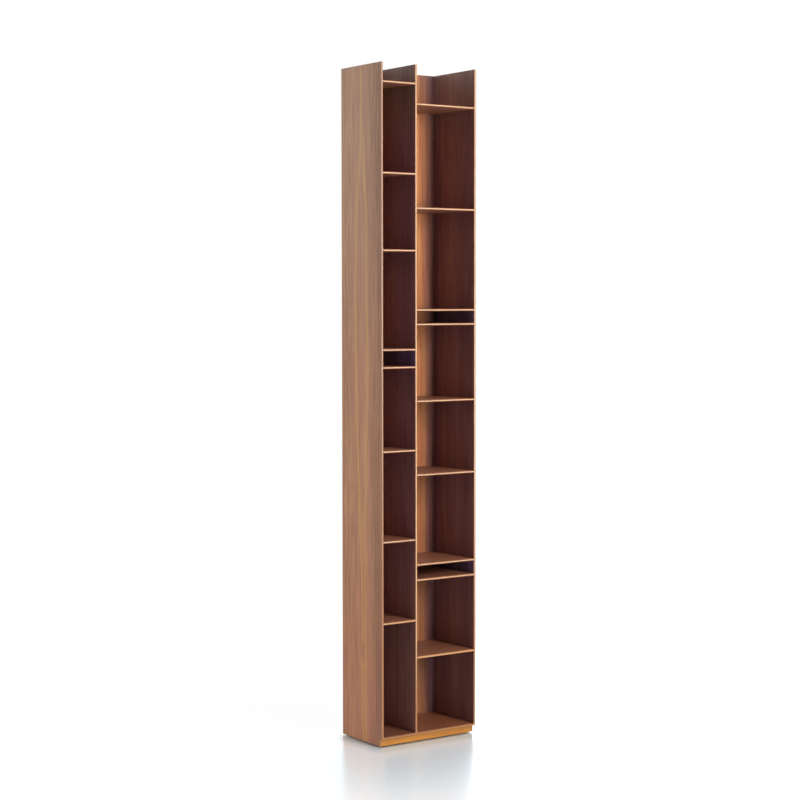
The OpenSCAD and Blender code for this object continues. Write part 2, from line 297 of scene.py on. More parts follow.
# What the leaves share. "head", "foot" and the tone past the split are what "mid" turns to there, and
# the other tones turn with it. "front", the slots' tint and the last value of a stripe multiply the
# colour. The head, foot, front, slot and stripe tones are painted light and shade.
veneer = {
    "goldenWidth": 0.012, "goldenShare": 0.4, "rosyShare": 0.3,
    "paintedHeadShare": 0.0, "paintedFootShare": 0.0, "frontShadeShare": 0.0, "knotShare": 0.0,
    "splitAt": None, "paintedLightStripes": (), "slots": (),
    "contrast": 0.9, "archShare": 0.24, "gloss": 0.42,
}
# Outer faces of the side panels. Near the top they turn paler and greyer and towards the floor deeper: a
# painted sheen that fades downwards. Towards the front edge they are darker: painted shade.
sideVeneer = {
    **veneer,
    "dark": tone(142, 93, 62), "mid": tone(162, 111, 73), "pale": tone(174, 123, 84),
    "golden": tone(188, 134, 74), "goldenShare": 0.6,
    "rosy": tone(168, 108, 84), "rosyShare": 0.4,
    "head": tone(160, 121, 92), "paintedHeadShare": 0.85, "headFrom": 0.95,
    "foot": tone(157, 93, 50), "paintedFootShare": 0.85, "footTo": 1.0,
    "front": tone(222, 214, 210), "frontShadeShare": 1.0,
    "centre": -0.002, "leansTo": -0.016, "spread": 0.037, "least": 0.25,
    "closes": (1.75, 2.3), "widens": (0.55, 1.45),
    "knotAt": (-0.006, 0.33), "knotSize": (0.014, 0.04), "knotShare": 0.5,
    "contrast": 1.35, "archShare": 0.34, "gloss": 0.36,
}
# The back panel, lit from the front, shows the veneer's full warmth. Its inner face has a painted pool
# of light, a pale stripe given by its centre, its reach and its tint, and past the split it turns to
# painted shade in the corner beside the right panel. Its head and foot are darker: painted shade.
backVeneer = {
    **veneer,
    "dark": tone(145, 80, 38), "mid": tone(164, 97, 50), "pale": tone(178, 111, 60),
    "golden": tone(190, 127, 62), "rosy": tone(160, 93, 54),
    "head": tone(124, 80, 52), "paintedHeadShare": 0.85, "headFrom": 2.2,
    "foot": tone(136, 83, 54), "paintedFootShare": 0.9, "footTo": 1.3,
    "centre": 0.12, "leansTo": 0.13, "spread": 0.03, "least": 0.4,
    "closes": (1.3, 2.1), "widens": (0.3, 1.0),
    "splitAt": (0.138, 0.19), "pastSplit": tone(138, 90, 76),
    "paintedLightStripes": ((0.124, 0.022, (1.42, 1.45, 1.5, 1)),),
}
# The inner faces of the uprights are a darker, redder copy of the veneer: painted shade inside the
# bays. In the slots between two close shelves it turns to a bluer painted shade, near the front edge to
# a darker one, and near the top to a greyer painted light from above.
shadedInnerVeneer = {
    **veneer,
    "dark": tone(108, 68, 74), "mid": tone(127, 83, 89), "pale": tone(141, 96, 97),
    "golden": tone(148, 102, 82), "rosy": tone(128, 78, 82),
    "head": tone(147, 119, 101), "paintedHeadShare": 0.55, "headFrom": 2.12,
    "foot": tone(122, 80, 74), "paintedFootShare": 0.7, "footTo": 1.0,
    "front": tone(228, 218, 206), "frontShadeShare": 0.9,
    "slots": ((0.5905, 0.6385), (1.5045, 1.5485)), "slotShadeTint": (0.93, 1.45, 2.4, 1),
    "centre": 0.02, "leansTo": -0.01, "spread": 0.045, "least": 0.3,
    "closes": (1.2, 1.9), "widens": (0.2, 1.0),
    "contrast": 0.95,
}
# The divider's left face: the same painted shade, a little paler and bluer, with a greyer painted light
# near its top and a paler one towards the floor.
shadedDividerVeneer = {
    **shadedInnerVeneer,
    "dark": tone(116, 74, 84), "mid": tone(135, 90, 102), "pale": tone(149, 103, 109),
    "rosy": tone(137, 85, 99),
    "head": tone(137, 112, 100), "paintedHeadShare": 0.85,
    "foot": tone(148, 104, 100), "paintedFootShare": 0.9, "footTo": 1.3,
    "slots": ((1.353, 1.4085),),
}
# Faces towards the right are as warm as the shelves, and keep the inner faces' painted light and
# shade at the head, the foot and the front.
warmVeneer = {
    **shadedInnerVeneer,
    "dark": tone(124, 76, 54), "mid": tone(142, 92, 68), "pale": tone(156, 106, 78),
    "golden": tone(164, 112, 72), "rosy": tone(142, 84, 66),
    "head": tone(150, 112, 90), "slots": (),
}
shelfVeneer = {
    **veneer,
    "dark": tone(122, 74, 54), "mid": tone(141, 90, 68), "pale": tone(153, 102, 76),
    "golden": tone(160, 110, 72), "rosy": tone(140, 83, 66),
    "centre": 0.02, "leansTo": 0.02, "spread": 0.05, "least": 0.6,
    "closes": (0.05, 0.24), "widens": (-0.3, 0.0),
}
# The bottom panel is a deeper board, most of all in the narrow bay
bottomVeneer = {
    **shelfVeneer,
    "dark": tone(108, 64, 46), "mid": tone(125, 77, 57), "pale": tone(137, 88, 65),
    "golden": tone(144, 96, 62), "rosy": tone(124, 72, 55),
    "splitAt": (-0.0585, -0.0565), "pastSplit": tone(141, 86, 58),
}


# The veneer's noises, with the places that the arches need
def grainParts(wood, axis, seed, panel):
    at = wood.place()
    x, y, z = wood.split(at)
    fine = figure["drawnOut"]
    scale = (1, 1, fine) if axis == "Z" else (fine, 1, 1)
    run = wood.stretched(at, scale, [seed * part for part in figure["seedShift"]])
    parts = {name: wood.noise(run, *settings) for name, settings in figure["noises"].items()}
    parts["wander"] = (wood.noise(run, *figure["wander"]) - 0.5) * figure["wanderReach"]
    parts["pores"] = wood.step(wood.noise(run, *figure["pores"]), *figure["poresAt"])
    parts["along"] = z if axis == "Z" else x
    parts["across"] = x if panel == "back_panel" else y
    return {**parts, "at": at, "x": x, "y": y, "z": z}


# ring = |across - centre + wander| - spread * opening(along), in metres. The arches of a board sawn
# flat lie on equal values of ring, and close where the opening falls to 0.
def archRing(wood, look, parts):
    along = parts["along"]
    centre = look["centre"] + (look["leansTo"] - look["centre"]) * (1 - wood.step(along, *figure["leans"]))
    opening = look["least"] + (1 - look["least"]) * wood.step(along, *look["widens"])
    opening = opening * (1 - wood.step(along, *look["closes"]))
    return wood.size(parts["across"] - centre + parts["wander"]) - opening * look["spread"]


# The shade is the sum of the noises and of sine(2 pi * (ring / ring width + drift)). Rosy and golden
# lines follow the ring too.
def leafColour(wood, look, parts):
    ring = archRing(wood, look, parts)
    turns = (ring / figure["ringWidth"] + parts["broad"] * figure["ringDrift"]) * (2 * math.pi)
    arches = wood.maths("SINE", turns) * 0.5
    shade = blended(parts, figure["shares"])
    shade = wood.clamp(shade * look["contrast"] + arches * look["archShare"] + 0.5)
    colour = wood.ramp(shade, *zip(figure["shadeStops"], (look["dark"], look["mid"], look["pale"])))
    rosy = wood.ridge(wood.size(ring), *figure["rosyAt"]) * look["rosyShare"]
    colour = wood.mix(rosy, colour, look["rosy"])
    golden = figure["goldenLeast"] + parts["streaks"] * figure["goldenStreaks"]
    golden = wood.ridge(ring, 0.0, look["goldenWidth"]) * golden
    colour = wood.mix(wood.clamp(golden * look["goldenShare"]), colour, look["golden"])
    if look["knotShare"]:
        colour = knotColour(wood, look, parts, colour)
    for mask, change in leafTints(wood, look, parts):
        colour = wood.tinted(mask, colour, change)
    return wood.tinted(parts["pores"] * figure["poresShare"], colour, look["dark"])


# How the tints fade: within a board from this far before its rear face, past the ends of a slot, and
# from the front edge of an upright inwards, in metres
fading = {
    "inside": 0.006, "behind": 0.001,
    "slotEnds": 0.01, "slotSteepness": 4,  # the steeper, the shorter the fade
    "front": (-0.11, -0.02),
}


# Where a leaf turns to another tone: pairs of a mask from 0 to 1 and what the colour is multiplied by.
# The stripes, head, foot, slots and front are painted light and shade, and so is the split on the back.
def leafTints(wood, look, parts):
    x, y, z = parts["x"], parts["y"], parts["z"]
    tints = []
    if look["splitAt"]:
        inside = 1 - wood.step(y, caseBack - fading["inside"], caseBack - fading["behind"])
        beyond = wood.step(x, *look["splitAt"]) * inside
        tints.append((beyond, tint(look["mid"], look["pastSplit"])))
        for centre, reach, change in look["paintedLightStripes"]:
            tints.append((wood.ridge(x, centre, reach) * inside, change))
    if look["paintedHeadShare"]:
        head = wood.step(z, look["headFrom"], caseTop) * look["paintedHeadShare"]
        tints.append((head, tint(look["mid"], look["head"])))
    if look["paintedFootShare"]:
        foot = (1 - wood.step(z, 0.0, look["footTo"])) * look["paintedFootShare"]
        tints.append((foot, tint(look["mid"], look["foot"])))
    for low, high in look["slots"]:
        slot = wood.ridge(z, (low + high) / 2, (high - low) / 2 + fading["slotEnds"])
        tints.append((wood.clamp(slot * fading["slotSteepness"]), look["slotShadeTint"]))
    if look["frontShadeShare"]:
        front = (1 - wood.step(y, *fading["front"])) * look["frontShadeShare"]
        tints.append((front, look["front"]))
    return tints


# A small swirl, measured in knot sizes: dark out to its edge, with a golden rim round its foot
knot = {"dark": (0.2, 1.3), "rim": (1.5, 0.5), "rimEnds": (-0.6, 0.4)}


def knotColour(wood, look, parts, colour):
    across = (parts["across"] - look["knotAt"][0] + parts["wander"]) / look["knotSize"][0]
    along = (parts["along"] - look["knotAt"][1]) / look["knotSize"][1]
    out = wood.distance(across, along)
    inside = (1 - wood.step(out, *knot["dark"])) * look["knotShare"]
    rim = wood.ridge(out, *knot["rim"]) * (1 - wood.step(along, *knot["rimEnds"])) * look["knotShare"]
    colour = wood.mix(inside, colour, look["dark"])
    return wood.mix(rim, colour, look["golden"])


# Veneer with its grain along axis Z or X. An upright may have another leaf on its right face.
def makeVeneer(name, look, axis, seed, panel=None, right=None):
    wood = newGraph(name)
    parts = grainParts(wood, axis, seed, panel)
    colour = leafColour(wood, look, parts)
    if right:
        low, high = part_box(panel)
        depth = figure["leafDepth"]
        share = wood.step(parts["x"], low.x + depth, high.x - depth)
        colour = wood.mix(share, colour, leafColour(wood, right, parts))
    if panel:
        colour = boardEdges(wood, panel, parts, colour)
    streaks, pores = parts["streaks"], parts["pores"]
    gloss = look["gloss"] + (streaks - 0.5) * figure["glossStreaks"] + pores * figure["glossPores"]
    raised = figure["raised"]
    height = streaks * raised[0] + parts["hairs"] * raised[1] - pores * raised[2]
    return wood.finish(colour, gloss, height, figure["relief"])


# Lippings: pale along their middle, with darker borders on both sides of it: painted shade on the
# rounded arrises
uprightEdge = {
    "pale": tone(232, 190, 140), "leftPale": tone(208, 180, 152), "rightPale": tone(232, 192, 146),
    "deep": tone(162, 104, 58), "deepBelow": 0.5,
    "deeperAside": 0.8,  # the outer uprights are deep up to this much higher
    "border": tone(130, 74, 36),
    "borderWidth": 0.3, "leftBorder": 0.5,  # as shares of the strip
}
shelfEdge = {
    "pale": tone(235, 205, 162), "leftPale": tone(235, 205, 162), "rightPale": tone(235, 205, 162),
    "deep": tone(196, 136, 78), "deepBelow": 0.85,
    "deeperAside": 0.0,
    "border": tone(134, 64, 24),
    "borderWidth": 0.36, "leftBorder": 0.36,
}
# The strips' own figure. Noises are given as for the veneer.
strip = {
    "drawnOut": 0.05, "streaks": (12, 4, 0.6, 0.2), "hairs": (60, 3, 0.6),
    "spotsDrawnOut": (0.2, 30, 1), "spots": (1, 3, 0.6),
    "shares": {"streaks": 1.4, "hairs": 0.8, "spots": 0.6},
    "stops": ((0.2, tone(222, 212, 200)), (0.75, tone(255, 255, 255))), "share": 0.8,
    "aside": (0.02, 0.06), "panelEdge": 0.01,  # where the tones change between the uprights
    "borderShare": 0.9, "borderSoft": 0.06, "borderWobble": 0.1,
    "gloss": 0.42, "glossStreaks": 0.2,
    "raised": (0.4, 0.3), "relief": (0.3, 0.0002),
}


# Streaks run along the strip, which is deeper towards the floor. The strip's own UV map has u from
# 0 to 1 across its face and v along it in metres. The left panel's outer border is the widest.
def makeLipping(name, look, seed):
    wood = newGraph(name)
    x, z = wood.split(wood.place(), "XZ")
    onStrip = wood.node("ShaderNodeUVMap", {"uv_map": "strip"})
    u = wood.split(onStrip, "X")[0]
    run = wood.stretched(onStrip, (1, strip["drawnOut"], 1), (seed, seed * 3, 0))
    noises = {key: wood.noise(run, *strip[key]) for key in ("streaks", "hairs")}
    noises["spots"] = wood.noise(wood.stretched(onStrip, strip["spotsDrawnOut"]), *strip["spots"])
    streaks = noises["streaks"] - 0.5
    onLeft = 1 - wood.step(x, leftHigh.x, leftHigh.x + strip["panelEdge"])
    onRight = wood.step(x, rightLow.x - strip["panelEdge"], rightLow.x)
    aside = wood.step(wood.size(x - dividerLow.x), *strip["aside"])
    deep = 1 - wood.step(z, 0.0, aside * look["deeperAside"] + look["deepBelow"])
    colour = wood.mix(onLeft, look["pale"], look["leftPale"])
    colour = wood.mix(onRight, colour, look["rightPale"])
    colour = wood.mix(deep, colour, look["deep"])
    shade = wood.clamp(blended(noises, strip["shares"]) + 0.5)
    colour = wood.tinted(strip["share"], colour, wood.ramp(shade, *strip["stops"]))
    # The borders are painted shade on the rounded arrises
    width, soft = look["borderWidth"], strip["borderSoft"]
    lowWidth = onLeft * (look["leftBorder"] - width) + width
    wobble = streaks * strip["borderWobble"]
    low = 1 - wood.step(u - lowWidth + wobble, -soft, soft)
    high = wood.step(u + wobble, 1 - soft - width, 1 + soft - width)
    border = wood.mix(deep, look["border"], look["deep"])
    colour = wood.mix(wood.maths("MAXIMUM", low, high) * strip["borderShare"], colour, border)
    height = noises["streaks"] * strip["raised"][0] + noises["hairs"] * strip["raised"][1]
    gloss = strip["gloss"] + streaks * strip["glossStreaks"]
    return wood.finish(colour, gloss, height, strip["relief"])


# The cut edges of the panels. The tone of an edge goes skin deep.
boardCut = {
    "pale": tone(196, 160, 116), "dark": tone(138, 98, 66), "darkShare": 0.5,
    "layer": 0.0014, "skin": 0.0003,
    "drawnOut": 0.04, "streaks": (620, 4, 0.6, 0.2), "stops": (0.34, 0.56),
}


# A panel's top edge is lipped, and the rear edge and foot of a side panel show the core in layers:
# sine(2 pi * distance through the board / layer)
def boardEdges(wood, panel, parts, colour):
    skin, fine = boardCut["skin"], boardCut["drawnOut"]
    scale = (fine, 1, 1) if panel == "back_panel" else (1, fine, 1)
    streaks = wood.noise(wood.stretched(parts["at"], scale), *boardCut["streaks"])
    edge = wood.ramp(streaks, *zip(boardCut["stops"], (uprightEdge["border"], uprightEdge["pale"])))
    top = wood.step(parts["z"], caseTop - skin, caseTop - skin / 2)
    colour = wood.mix(top, colour, edge)
    if panel.endswith("side_panel"):
        layers = wood.maths("SINE", parts["x"] * (2 * math.pi / boardCut["layer"])) * 0.5 + 0.5
        core = wood.mix(layers, boardCut["pale"], boardCut["dark"])
        core = wood.mix(parts["bands"] * boardCut["darkShare"], core, boardCut["dark"])
        rear = wood.step(parts["y"], caseBack - skin, caseBack - skin / 2)
        foot = 1 - wood.step(parts["z"], leftLow.z + skin / 2, leftLow.z + skin)
        colour = wood.mix(wood.maths("MAXIMUM", rear, foot), colour, core)
    return colour


plinthWood = {
    "dark": tone(162, 94, 12), "mid": tone(184, 113, 14), "pale": tone(196, 127, 26),
    "drawnOut": 0.04, "broad": (60, 3, 0.5, 0.5), "streaks": (420, 4, 0.6, 0.2),
    "shares": {"broad": 1.4, "streaks": 1.6}, "shadeStops": (0.15, 0.5, 0.85),
    "pores": (2100, 2), "poresAt": (0.62, 0.74), "poresShare": 0.3,
    "foot": (0.004, 0.009), "paintedFootShare": 0.4,
    "gloss": 0.42, "glossStreaks": 0.2, "glossPores": 0.15,
    "raised": (0.4, 0.7), "relief": (0.35, 0.0003),
}


# Orange veneer of the plinth, grain along X. Along its foot it is a little paler: a painted highlight
# on its lower edge.
def makePlinth(name, look):
    wood = newGraph(name)
    at = wood.place()
    z = wood.split(at, "Z")[0]
    run = wood.stretched(at, (look["drawnOut"], 1, 1))
    noises = {key: wood.noise(run, *look[key]) for key in ("broad", "streaks")}
    pores = wood.step(wood.noise(run, *look["pores"]), *look["poresAt"])
    shade = wood.clamp(blended(noises, look["shares"]) + 0.5)
    colour = wood.ramp(shade, *zip(look["shadeStops"], (look["dark"], look["mid"], look["pale"])))
    colour = wood.tinted(pores * look["poresShare"], colour, look["dark"])
    foot = 1 - wood.step(z, *look["foot"])
    colour = wood.mix(foot * look["paintedFootShare"], colour, look["pale"])
    streaks = noises["streaks"]
    gloss = look["gloss"] + (streaks - 0.5) * look["glossStreaks"] + pores * look["glossPores"]
    height = streaks * look["raised"][0] - pores * look["raised"][1]
    return wood.finish(colour, gloss, height, look["relief"])


softwoodLook = {
    "early": tone(226, 194, 146), "late": tone(190, 140, 88), "lateShare": 0.75, "fibreShare": 0.35,
    "pith": (0.02, -0.09),  # its place in Y and Z
    "ring": 0.0042, "lateAt": (0.45, 0.95),  # the share of a ring where late wood sets in
    "drawnOut": 0.06, "drift": (30, 2), "driftReach": 0.006, "fibres": (900, 3, 0.6),
    "gloss": 0.6, "glossFibres": 0.15,
    "raised": (0.5, 0.3), "relief": (0.4, 0.0003),
}


# Planed softwood: year rings as bands of the distance from a pith line along X, far below
def makeSoftwood(name, look):
    wood = newGraph(name)
    at = wood.place()
    y, z = wood.split(at, "YZ")
    run = wood.stretched(at, (look["drawnOut"], 1, 1))
    drift = wood.noise(run, *look["drift"]) * look["driftReach"]
    radius = wood.distance(y - look["pith"][0], z - look["pith"][1]) + drift
    rings = wood.maths("FRACT", radius / look["ring"])
    lateFrom, lateTo = look["lateAt"]
    late = wood.step(rings, lateFrom, lateTo) * (1 - wood.step(rings, lateTo, 1.0))
    fibres = wood.noise(run, *look["fibres"])
    colour = wood.mix(late * look["lateShare"], look["early"], look["late"])
    colour = wood.mix(fibres * look["fibreShare"], colour, look["late"])
    height = fibres * look["raised"][0] + late * look["raised"][1]
    gloss = look["gloss"] + fibres * look["glossFibres"]
    return wood.finish(colour, gloss, height, look["relief"])


# Metals: their bright and dull tones, their roughness, and how the scratches are drawn out
metals = {
    "zincPlate": (tone(205, 206, 210), tone(150, 150, 156), 0.28, (1, 1, 1)),
    "brightSteel": (tone(190, 190, 194), tone(140, 140, 146), 0.25, (0.05, 1, 1)),
    "platedSteel": (tone(200, 202, 206), tone(140, 142, 148), 0.32, (0.03, 1, 1)),
    "turnedBrass": (tone(214, 176, 96), tone(160, 124, 62), 0.3, (1, 1, 0.05)),
}
wear = {
    "clouds": (260, 3, 0.6), "cloudsAt": (0.5, 0.75), "cloudShare": 0.6, "glossClouds": 0.15,
    "scratches": (2600, 3, 0.6, 0.4), "glossScratches": 0.2, "relief": (0.15, 0.00005),
}


# Bright metal with cloudy patches that are duller, and fine scratches
def makeMetal(name):
    bright, dull, roughness, brushed = metals[name]
    metal = newGraph(name)
    at = metal.place()
    worn = metal.step(metal.noise(at, *wear["clouds"]), *wear["cloudsAt"])
    scratches = metal.noise(metal.stretched(at, brushed), *wear["scratches"])
    colour = metal.mix(worn * wear["cloudShare"], bright, dull)
    gloss = roughness + worn * wear["glossClouds"] + (scratches - 0.5) * wear["glossScratches"]
    return metal.finish(colour, gloss, scratches, wear["relief"], metallic=1.0)


plasticLook = {
    "black": tone(34, 34, 35), "scuffed": tone(88, 86, 84), "scuffShare": 0.6, "scuffsBelow": 0.0015,
    "grain": (3200, 2), "patches": (180, 3, 0.6), "patchesAt": (0.4, 0.65),
    "gloss": 0.48, "glossPatches": 0.2, "glossScuffs": 0.2, "relief": (0.3, 0.00008),
}


# Moulded black plastic with a fine spark-eroded grain, and scuffs near the floor
def makePlastic(name, look):
    plastic = newGraph(name)
    at = plastic.place()
    z = plastic.split(at, "Z")[0]
    patches = plastic.noise(at, *look["patches"])
    low = 1 - plastic.step(z, 0.0, look["scuffsBelow"])
    scuffed = low * plastic.step(patches, *look["patchesAt"])
    colour = plastic.mix(scuffed * look["scuffShare"], look["black"], look["scuffed"])
    gloss = look["gloss"] + (patches - 0.5) * look["glossPatches"] + scuffed * look["glossScuffs"]
    return plastic.finish(colour, gloss, plastic.noise(at, *look["grain"]), look["relief"])


# The CAD nodes that stay: each gets its material, and the boards their own leaves
def dress(name, material):
    node = nodes[name]
    if not node.material_slots:
        node.data.materials.append(material)
    for slot in node.material_slots:
        slot.material = material


# Uprights: the material's name, the leaf, its seed, and the leaf on the right face
uprights = {
    "left_side_panel": ("leftPanelVeneer", sideVeneer, 1.0, warmVeneer),
    "right_side_panel": ("rightPanelVeneer", shadedInnerVeneer, 5.3, sideVeneer),
    "divider_panel": ("shadedDividerVeneer", shadedDividerVeneer, 8.9, warmVeneer),
    "back_panel": ("backVeneer", backVeneer, 12.4, None),
}
for panel, (name, look, seed, right) in uprights.items():
    dress(panel, makeVeneer(name, look, "Z", seed, panel, right))
dress("bottom_panel", makeVeneer("bottomVeneer", bottomVeneer, "X", 3.1))
dress("plinth_front_rail", makePlinth("plinthVeneer", plinthWood))
shelfFinish = makeVeneer("shelfVeneer", shelfVeneer, "X", 7.7)
for name in shelfNames:
    dress(name, shelfFinish)
softwood = makeSoftwood("planedSoftwood", softwoodLook)
for name in ("plinth_rear_rail", "plinth_cross_rail", "corner_blocks"):
    dress(name, softwood)
print("boards dressed, with", len(shelfNames), "shelves")

pinSteel = makeMetal("brightSteel")
for name in ("left_shelf_pins", "right_shelf_pins", "frame_pins"):
    dress(name, pinSteel)
dress("wall_plate", makeMetal("platedSteel"))
dress("foot_bushes", makeMetal("turnedBrass"))
print("metal dressed")


# Quads of a grid of points [rows, columns, xyz]. A closed grid joins its last column to its first.
def gridFaces(rows, columns, closed):
    index = np.arange(rows * columns).reshape(rows, columns)
    if closed:
        index = np.concatenate([index, index[:, :1]], axis=1)
    quads = [index[:-1, :-1], index[:-1, 1:], index[1:, 1:], index[1:, :-1]]
    return np.stack([q.ravel() for q in quads], axis=1)


# Makes one piece of several closed grids. Poles and seams are merged into closed surfaces, and the
# normals are turned outwards. Edges sharper than the given angle, in degrees, stay sharp.
def makePiece(name, grids, finish, stands, body="case", sharp=40):
    points, faces, start = [], [], 0
    for grid in grids:
        rows, columns = grid.shape[:2]
        points.append(grid.reshape(-1, 3))
        faces.append(gridFaces(rows, columns, True) + start)
        start += rows * columns
    mesh = bpy.data.meshes.new(name)
    mesh.from_pydata(np.concatenate(points).tolist(), [], np.concatenate(faces).tolist())
    shape = bmesh.new()
    shape.from_mesh(mesh)
    bmesh.ops.remove_doubles(shape, verts=shape.verts, dist=mergeGap)
    bmesh.ops.recalc_face_normals(shape, faces=shape.faces)
    shape.to_mesh(mesh)
    shape.free()
    mesh.shade_smooth()
    mesh.set_sharp_from_angle(angle=math.radians(sharp))
    mesh.materials.append(finish)
    piece = addObject(name, mesh)
    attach(piece, body)
    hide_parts(*stands)
    return piece


# Lippings: strips of veneer with eased arrises
lipping = {
    "thickness": 0.001,
    "width": leftHigh.x - leftLow.x,
    "easing": 0.00035, "easingSteps": 3,
    "rowPitch": 0.05,
}


# A straight strip between two corners, along axis "X" or "Z". Its section is a rectangle whose
# four corners are quarter circles: corner centre + radius * (cos a, sin a). Both ends close in
# a point at the middle of the end.
def stripGrid(low, high, axis):
    radius, steps = lipping["easing"], lipping["easingSteps"]
    low, high = np.array(low), np.array(high)
    lengthwise = "XYZ".index(axis)
    across = [i for i in range(3) if i != lengthwise]
    middle = (low + high) / 2
    halfSize = (high - low) / 2
    angles = np.radians(np.add.outer(np.arange(4) * 90, np.linspace(0, 90, steps)).ravel())
    signs = np.repeat(np.array([[1, 1], [-1, 1], [-1, -1], [1, -1]]), steps, axis=0)
    ring = signs * (halfSize[across] - radius) + radius * np.stack([np.cos(angles), np.sin(angles)], 1)
    count = max(2, round((high - low)[lengthwise] / lipping["rowPitch"]))
    places = np.linspace(low[lengthwise], high[lengthwise], count + 1)
    places = np.concatenate([places[:1], places, places[-1:]])
    grid = np.empty((len(places), len(ring), 3))
    grid[:, :, lengthwise] = places[:, None]
    for i, side in enumerate(across):
        grid[:, :, side] = middle[side] + ring[None, :, i]
        grid[[0, -1], :, side] = middle[side]
    return grid


# Makes a piece of strips, with a UV map: u = (place across - the nearest strip's start) / width, and
# v is the place along the strip in metres
def makeStrips(name, node, grids, finish, starts, acrossAxis, alongAxis):
    mesh = makePiece(name, grids, finish, [node]).data
    points = np.empty(len(mesh.vertices) * 3)
    mesh.vertices.foreach_get("co", points)
    points = points.reshape(-1, 3)
    across = (points[:, None, acrossAxis] - np.array(starts)[None, :]) / lipping["width"]
    nearest = np.abs(across - 0.5).argmin(axis=1)
    u = across[np.arange(len(points)), nearest]
    loops = np.empty(len(mesh.loops), np.int64)
    mesh.loops.foreach_get("vertex_index", loops)
    uv = np.stack([u, points[:, alongAxis]], axis=1)[loops]
    layer = mesh.uv_layers.new(name="strip")
    layer.data.foreach_set("uv", uv.astype(np.float32).ravel())


# The side panels' lippings go round the toe cut-out: one strip above it and one inside it
def makeUprightLipping(finish):
    front, back = caseLow.y, caseLow.y + lipping["thickness"]
    toeBack = toeLow.y + lipping["thickness"]
    grids = []
    for low, high in ((leftLow, leftHigh), (rightLow, rightHigh)):
        grids.append(stripGrid((low.x, front, plinthTop), (high.x, back, caseTop), "Z"))
        grids.append(stripGrid((low.x, toeLow.y, toeLow.z), (high.x, toeBack, plinthTop), "Z"))
    grids.append(stripGrid((dividerLow.x, front, bottomTop), (dividerHigh.x, back, caseTop), "Z"))
    starts = [leftLow.x, dividerLow.x, rightLow.x]
    makeStrips("uprightLippings", "upright_lipping", grids, finish, starts, 0, 2)


def makeShelfLipping(bay, finish):
    node = bay + "_shelf_lipping"
    low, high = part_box(node)
    heights = sorted(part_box(n)[0].z for n in shelfNames if n.startswith(bay))
    grids = [
        stripGrid((low.x, low.y, z), (high.x, high.y, z + lipping["width"]), "X")
        for z in heights
    ]
    makeStrips(bay + "ShelfLippings", node, grids, finish, heights, 2, 0)


def makeBottomLipping(finish):
    low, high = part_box("bottom_lipping")
    makeStrips("bottomLipping", "bottom_lipping", [stripGrid(low, high, "X")], finish, [low.z], 2, 0)


paleShelfEdge = makeLipping("shelfEdgeVeneer", shelfEdge, 2.0)
paleUprightEdge = makeLipping("uprightEdgeVeneer", uprightEdge, 6.0)
makeUprightLipping(paleUprightEdge)
makeShelfLipping("left", paleShelfEdge)
makeShelfLipping("right", paleShelfEdge)
makeBottomLipping(paleUprightEdge)
print("lippings made")


def turnAngles(columns):
    return np.arange(columns)[None, :] * (2 * np.pi / columns)


# Turned grid: place + radius * (cos a, sin a) across the axis, and sign * along on the axis.
# Radius and along are arrays of [row, column], or of [row, 1] where the shape is round.
def turnedGrid(radius, along, place, columns, axis="Z", sign=1):
    lengthwise = "XYZ".index(axis)
    first, second = [i for i in range(3) if i != lengthwise]
    angles = turnAngles(columns)
    grid = np.empty((len(radius), columns, 3))
    grid[..., first] = place[first] + radius * np.cos(angles)
    grid[..., second] = place[second] + radius * np.sin(angles)
    grid[..., lengthwise] = place[lengthwise] + sign * along
    return grid


threadSteepness = 0.85  # the more it is above 0.5, the wider the flats of a thread


# Depth of a right-handed thread, 0 on its crest and 1 at its root: 0.5 + steepness * the cosine of
# 2 pi * along / pitch less the angle, cut flat at both ends
def threadDepth(along, angles, pitch):
    wave = np.cos(2 * np.pi * along / pitch - angles)
    return np.clip(0.5 + wave * threadSteepness, 0.0, 1.0)


# 1 where value is below edge, 0 above it, with a slope that goes from edge - soft to edge + soft
def below(value, edge, soft):
    return np.clip((edge + soft - value) / (2 * soft), 0, 1)


# Countersunk wood screws with a cross recess, in metres
screw = {
    "headRadius": 0.0028, "headColumns": 40,
    "faceRings": (0, 0.00018, 0.00035, 0.0006, 0.0009, 0.0012, 0.00138, 0.00154, 0.002, 0.0025, 0.00274),
    "rimDrop": 0.00006,
    "recessDepth": 0.0008, "recessRise": 0.3,  # the recess is this share shallower at its reach
    "recessHalf": 0.00035, "recessWall": 0.00006,
    "recessReach": 0.0014, "recessEnd": 0.00008,
    "shankRadius": 0.0015, "shankColumns": 16, "inHead": 0.0001,
    "threadDepth": 0.0004, "pitch": 0.0016, "rowsPerPitch": 6,
    "tip": 0.003, "point": 0.0008, "tipCurve": 0.7,
}


# The recess is as deep as its depth where the nearer of |x| and |y| is within its half width,
# inside its reach. Below the face, the head is a cone down to the shank.
def screwHead(look, place, axis, sign):
    angles = turnAngles(look["headColumns"])
    face = np.array(look["faceRings"])[:, None]
    nearer = np.minimum(np.abs(face * np.cos(angles)), np.abs(face * np.sin(angles)))
    wall = below(nearer, look["recessHalf"], look["recessWall"])
    reach = below(face, look["recessReach"], look["recessEnd"])
    floorRise = 1 - look["recessRise"] * face / look["recessReach"]
    recess = look["recessDepth"] * wall * reach * floorRise
    neck = look["headRadius"] - look["shankRadius"]
    foot = neck + look["inHead"]
    cone = np.array([look["headRadius"], look["shankRadius"], look["shankRadius"], 0])[:, None]
    coneAlong = np.array([look["rimDrop"], neck, foot, foot])[:, None]
    radius = np.concatenate([face, cone]) + 0 * angles
    along = np.concatenate([recess, coneAlong + 0 * angles])
    return turnedGrid(radius, along, place, look["headColumns"], axis, sign)


